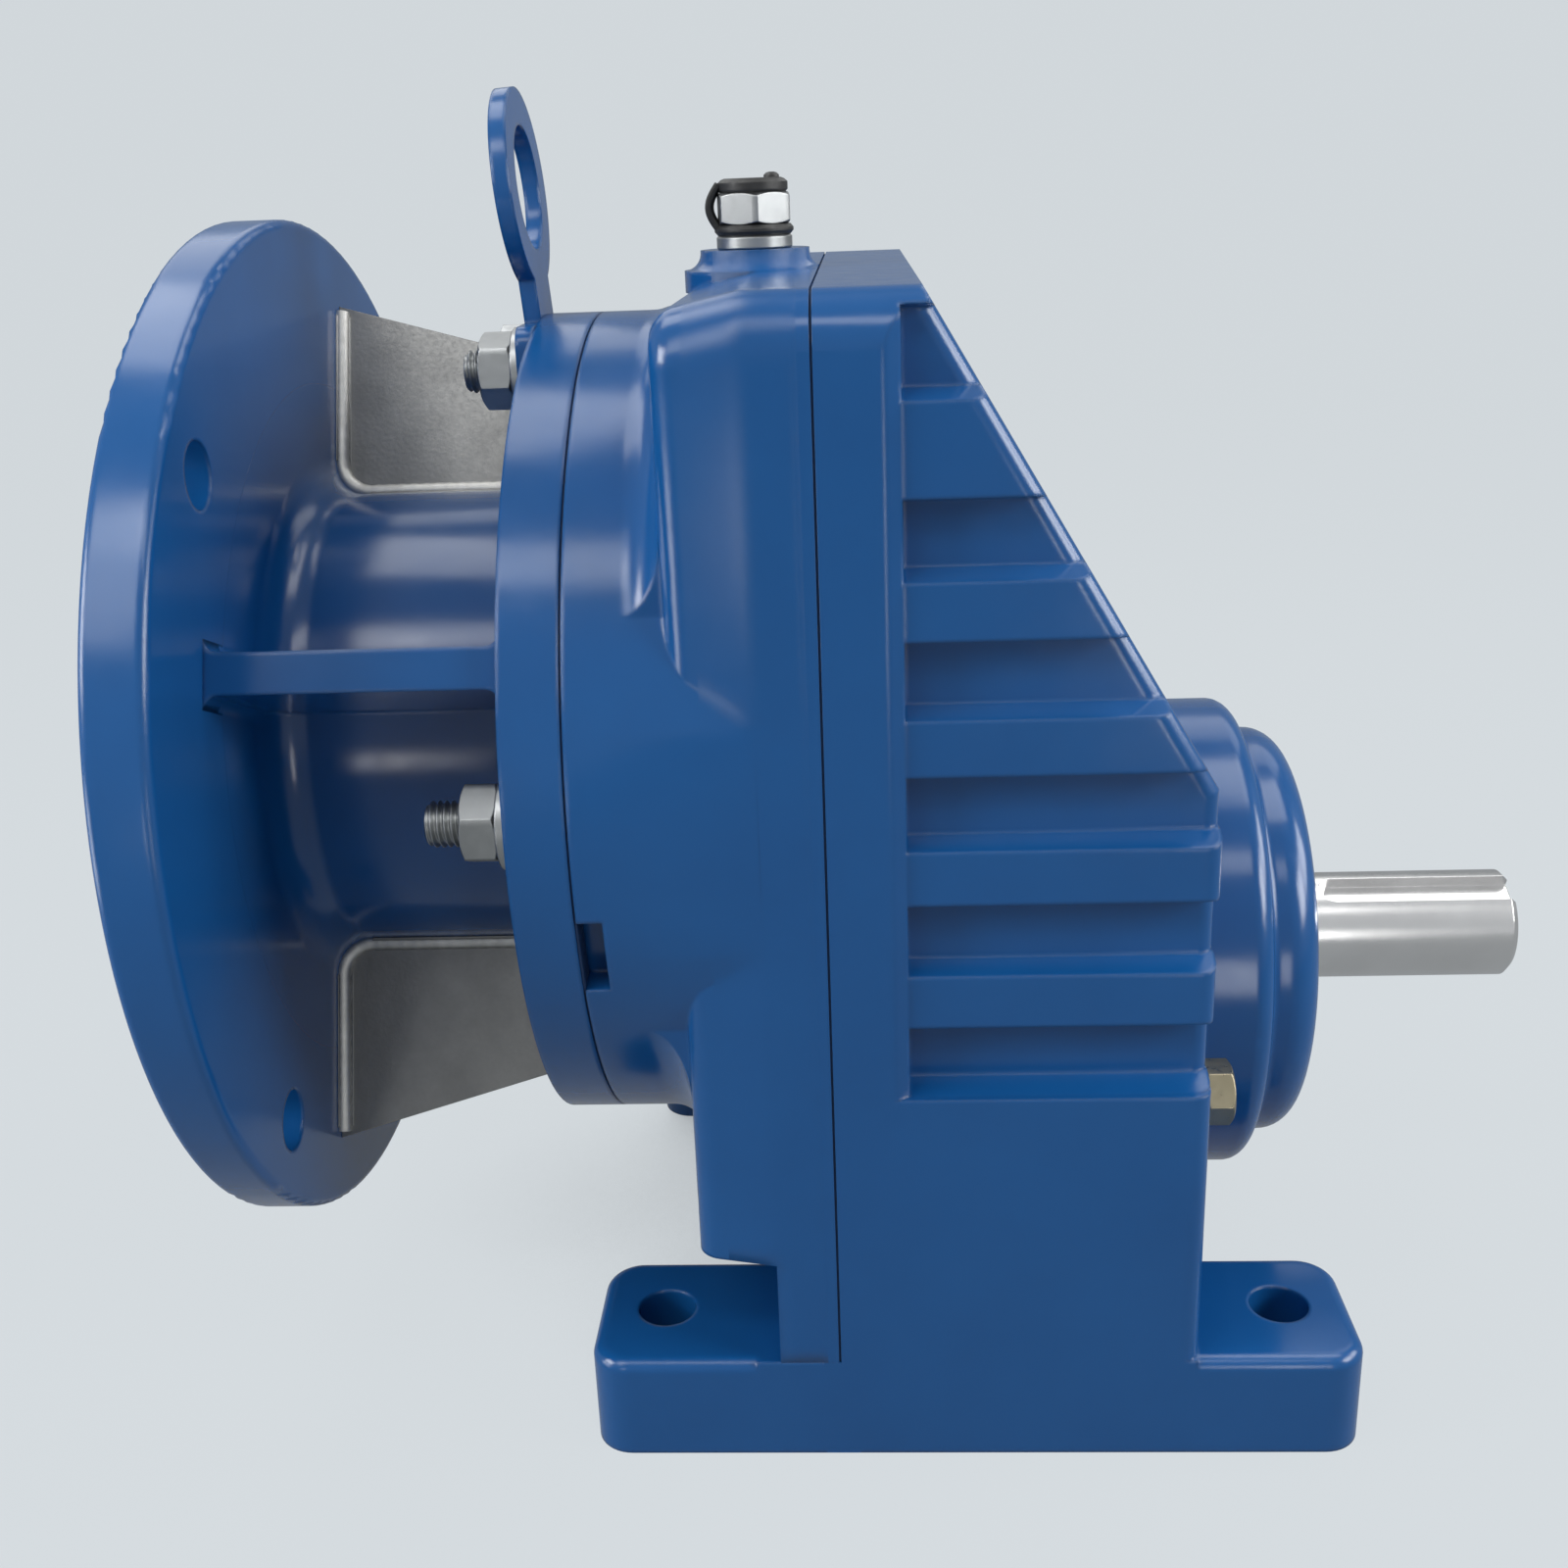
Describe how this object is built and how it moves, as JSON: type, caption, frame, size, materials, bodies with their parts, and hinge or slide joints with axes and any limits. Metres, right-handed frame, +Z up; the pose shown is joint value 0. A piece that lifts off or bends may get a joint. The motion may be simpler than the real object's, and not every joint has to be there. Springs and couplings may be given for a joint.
{
  "type": "gear reducer",
  "caption": "Foot-mounted two-stage gear reducer with a bolted motor adapter flange, grooved case, breather, lifting eye and keyed output shaft.",
  "frame": {"origin": "centre of the foot bolt pattern, on the underside of the feet", "axes": "+X out of the output shaft, +Z up"},
  "size_m": [0.3195, 0.25, 0.3064],
  "materials": {
    "blue_paint": "gloss",
    "bare_steel": "satin",
    "zinc_steel": "satin",
    "machined_steel": "satin",
    "gear_steel": "satin",
    "bearing_steel": "polished",
    "spring_steel": "satin",
    "washer_metal": "satin",
    "brass": "satin",
    "black_rubber": "matte",
    "gasket": "matte"
  },
  "bodies": {
    "housing": {"gear_housing": "blue_paint", "input_cover": "blue_paint", "motor_flange": "blue_paint", "motor_adapter": "blue_paint", "lifting_eye": "blue_paint", "case_gasket": "gasket", "adapter_gasket": "gasket", "upper_gusset": "bare_steel", "lower_gusset": "bare_steel", "adapter_studs": "zinc_steel", "adapter_nuts": "zinc_steel", "adapter_washers": "zinc_steel", "case_screws": "zinc_steel", "breather_plug": "zinc_steel", "breather_seal": "black_rubber", "breather_cap": "black_rubber", "oil_level_plug": "brass", "oil_plug_washer": "washer_metal", "output_seal": "black_rubber", "input_seal": "black_rubber", "output_bearing_circlip": "spring_steel", "input_bearing_circlip": "spring_steel", "input_bearing_spacer": "machined_steel", "output_rear_bearing_outer_ring": "bearing_steel", "output_front_bearing_outer_ring": "bearing_steel", "counter_rear_bearing_outer_ring": "bearing_steel", "counter_front_bearing_outer_ring": "bearing_steel", "input_outer_bearing_outer_ring": "bearing_steel", "input_inner_bearing_outer_ring": "bearing_steel"},
    "output": {"output_shaft": "machined_steel", "output_gear": "gear_steel", "output_gear_key": "machined_steel", "output_spacer": "machined_steel", "output_rear_bearing_inner_ring": "bearing_steel", "output_rear_bearing_rollers": "bearing_steel", "output_front_bearing_inner_ring": "bearing_steel", "output_front_bearing_rollers": "bearing_steel"},
    "counter": {"counter_shaft": "machined_steel", "counter_gear": "gear_steel", "counter_gear_key": "machined_steel", "counter_spacer": "machined_steel", "counter_rear_bearing_inner_ring": "bearing_steel", "counter_rear_bearing_rollers": "bearing_steel", "counter_front_bearing_inner_ring": "bearing_steel", "counter_front_bearing_rollers": "bearing_steel"},
    "input": {"input_shaft": "machined_steel", "input_outer_bearing_inner_ring": "bearing_steel", "input_outer_bearing_rollers": "bearing_steel", "input_inner_bearing_inner_ring": "bearing_steel", "input_inner_bearing_rollers": "bearing_steel"}
  },
  "joints": [
    {"name": "output_spin", "type": "hinge", "parent": "housing", "child": "output", "pos_m": [0, 0, 0.09], "axis": [1, 0, 0], "continuous": true},
    {"name": "counter_spin", "type": "hinge", "parent": "housing", "child": "counter", "pos_m": [0, 0, 0.194], "axis": [1, 0, 0], "continuous": true},
    {"name": "input_spin", "type": "hinge", "parent": "housing", "child": "input", "pos_m": [0, 0, 0.154], "axis": [1, 0, 0], "continuous": true}
  ],
  "couplings": [
    {"joint": "counter_spin", "follows": "output_spin", "ratio": -2.4667},
    {"joint": "input_spin", "follows": "output_spin", "ratio": 8.8095}
  ]
}
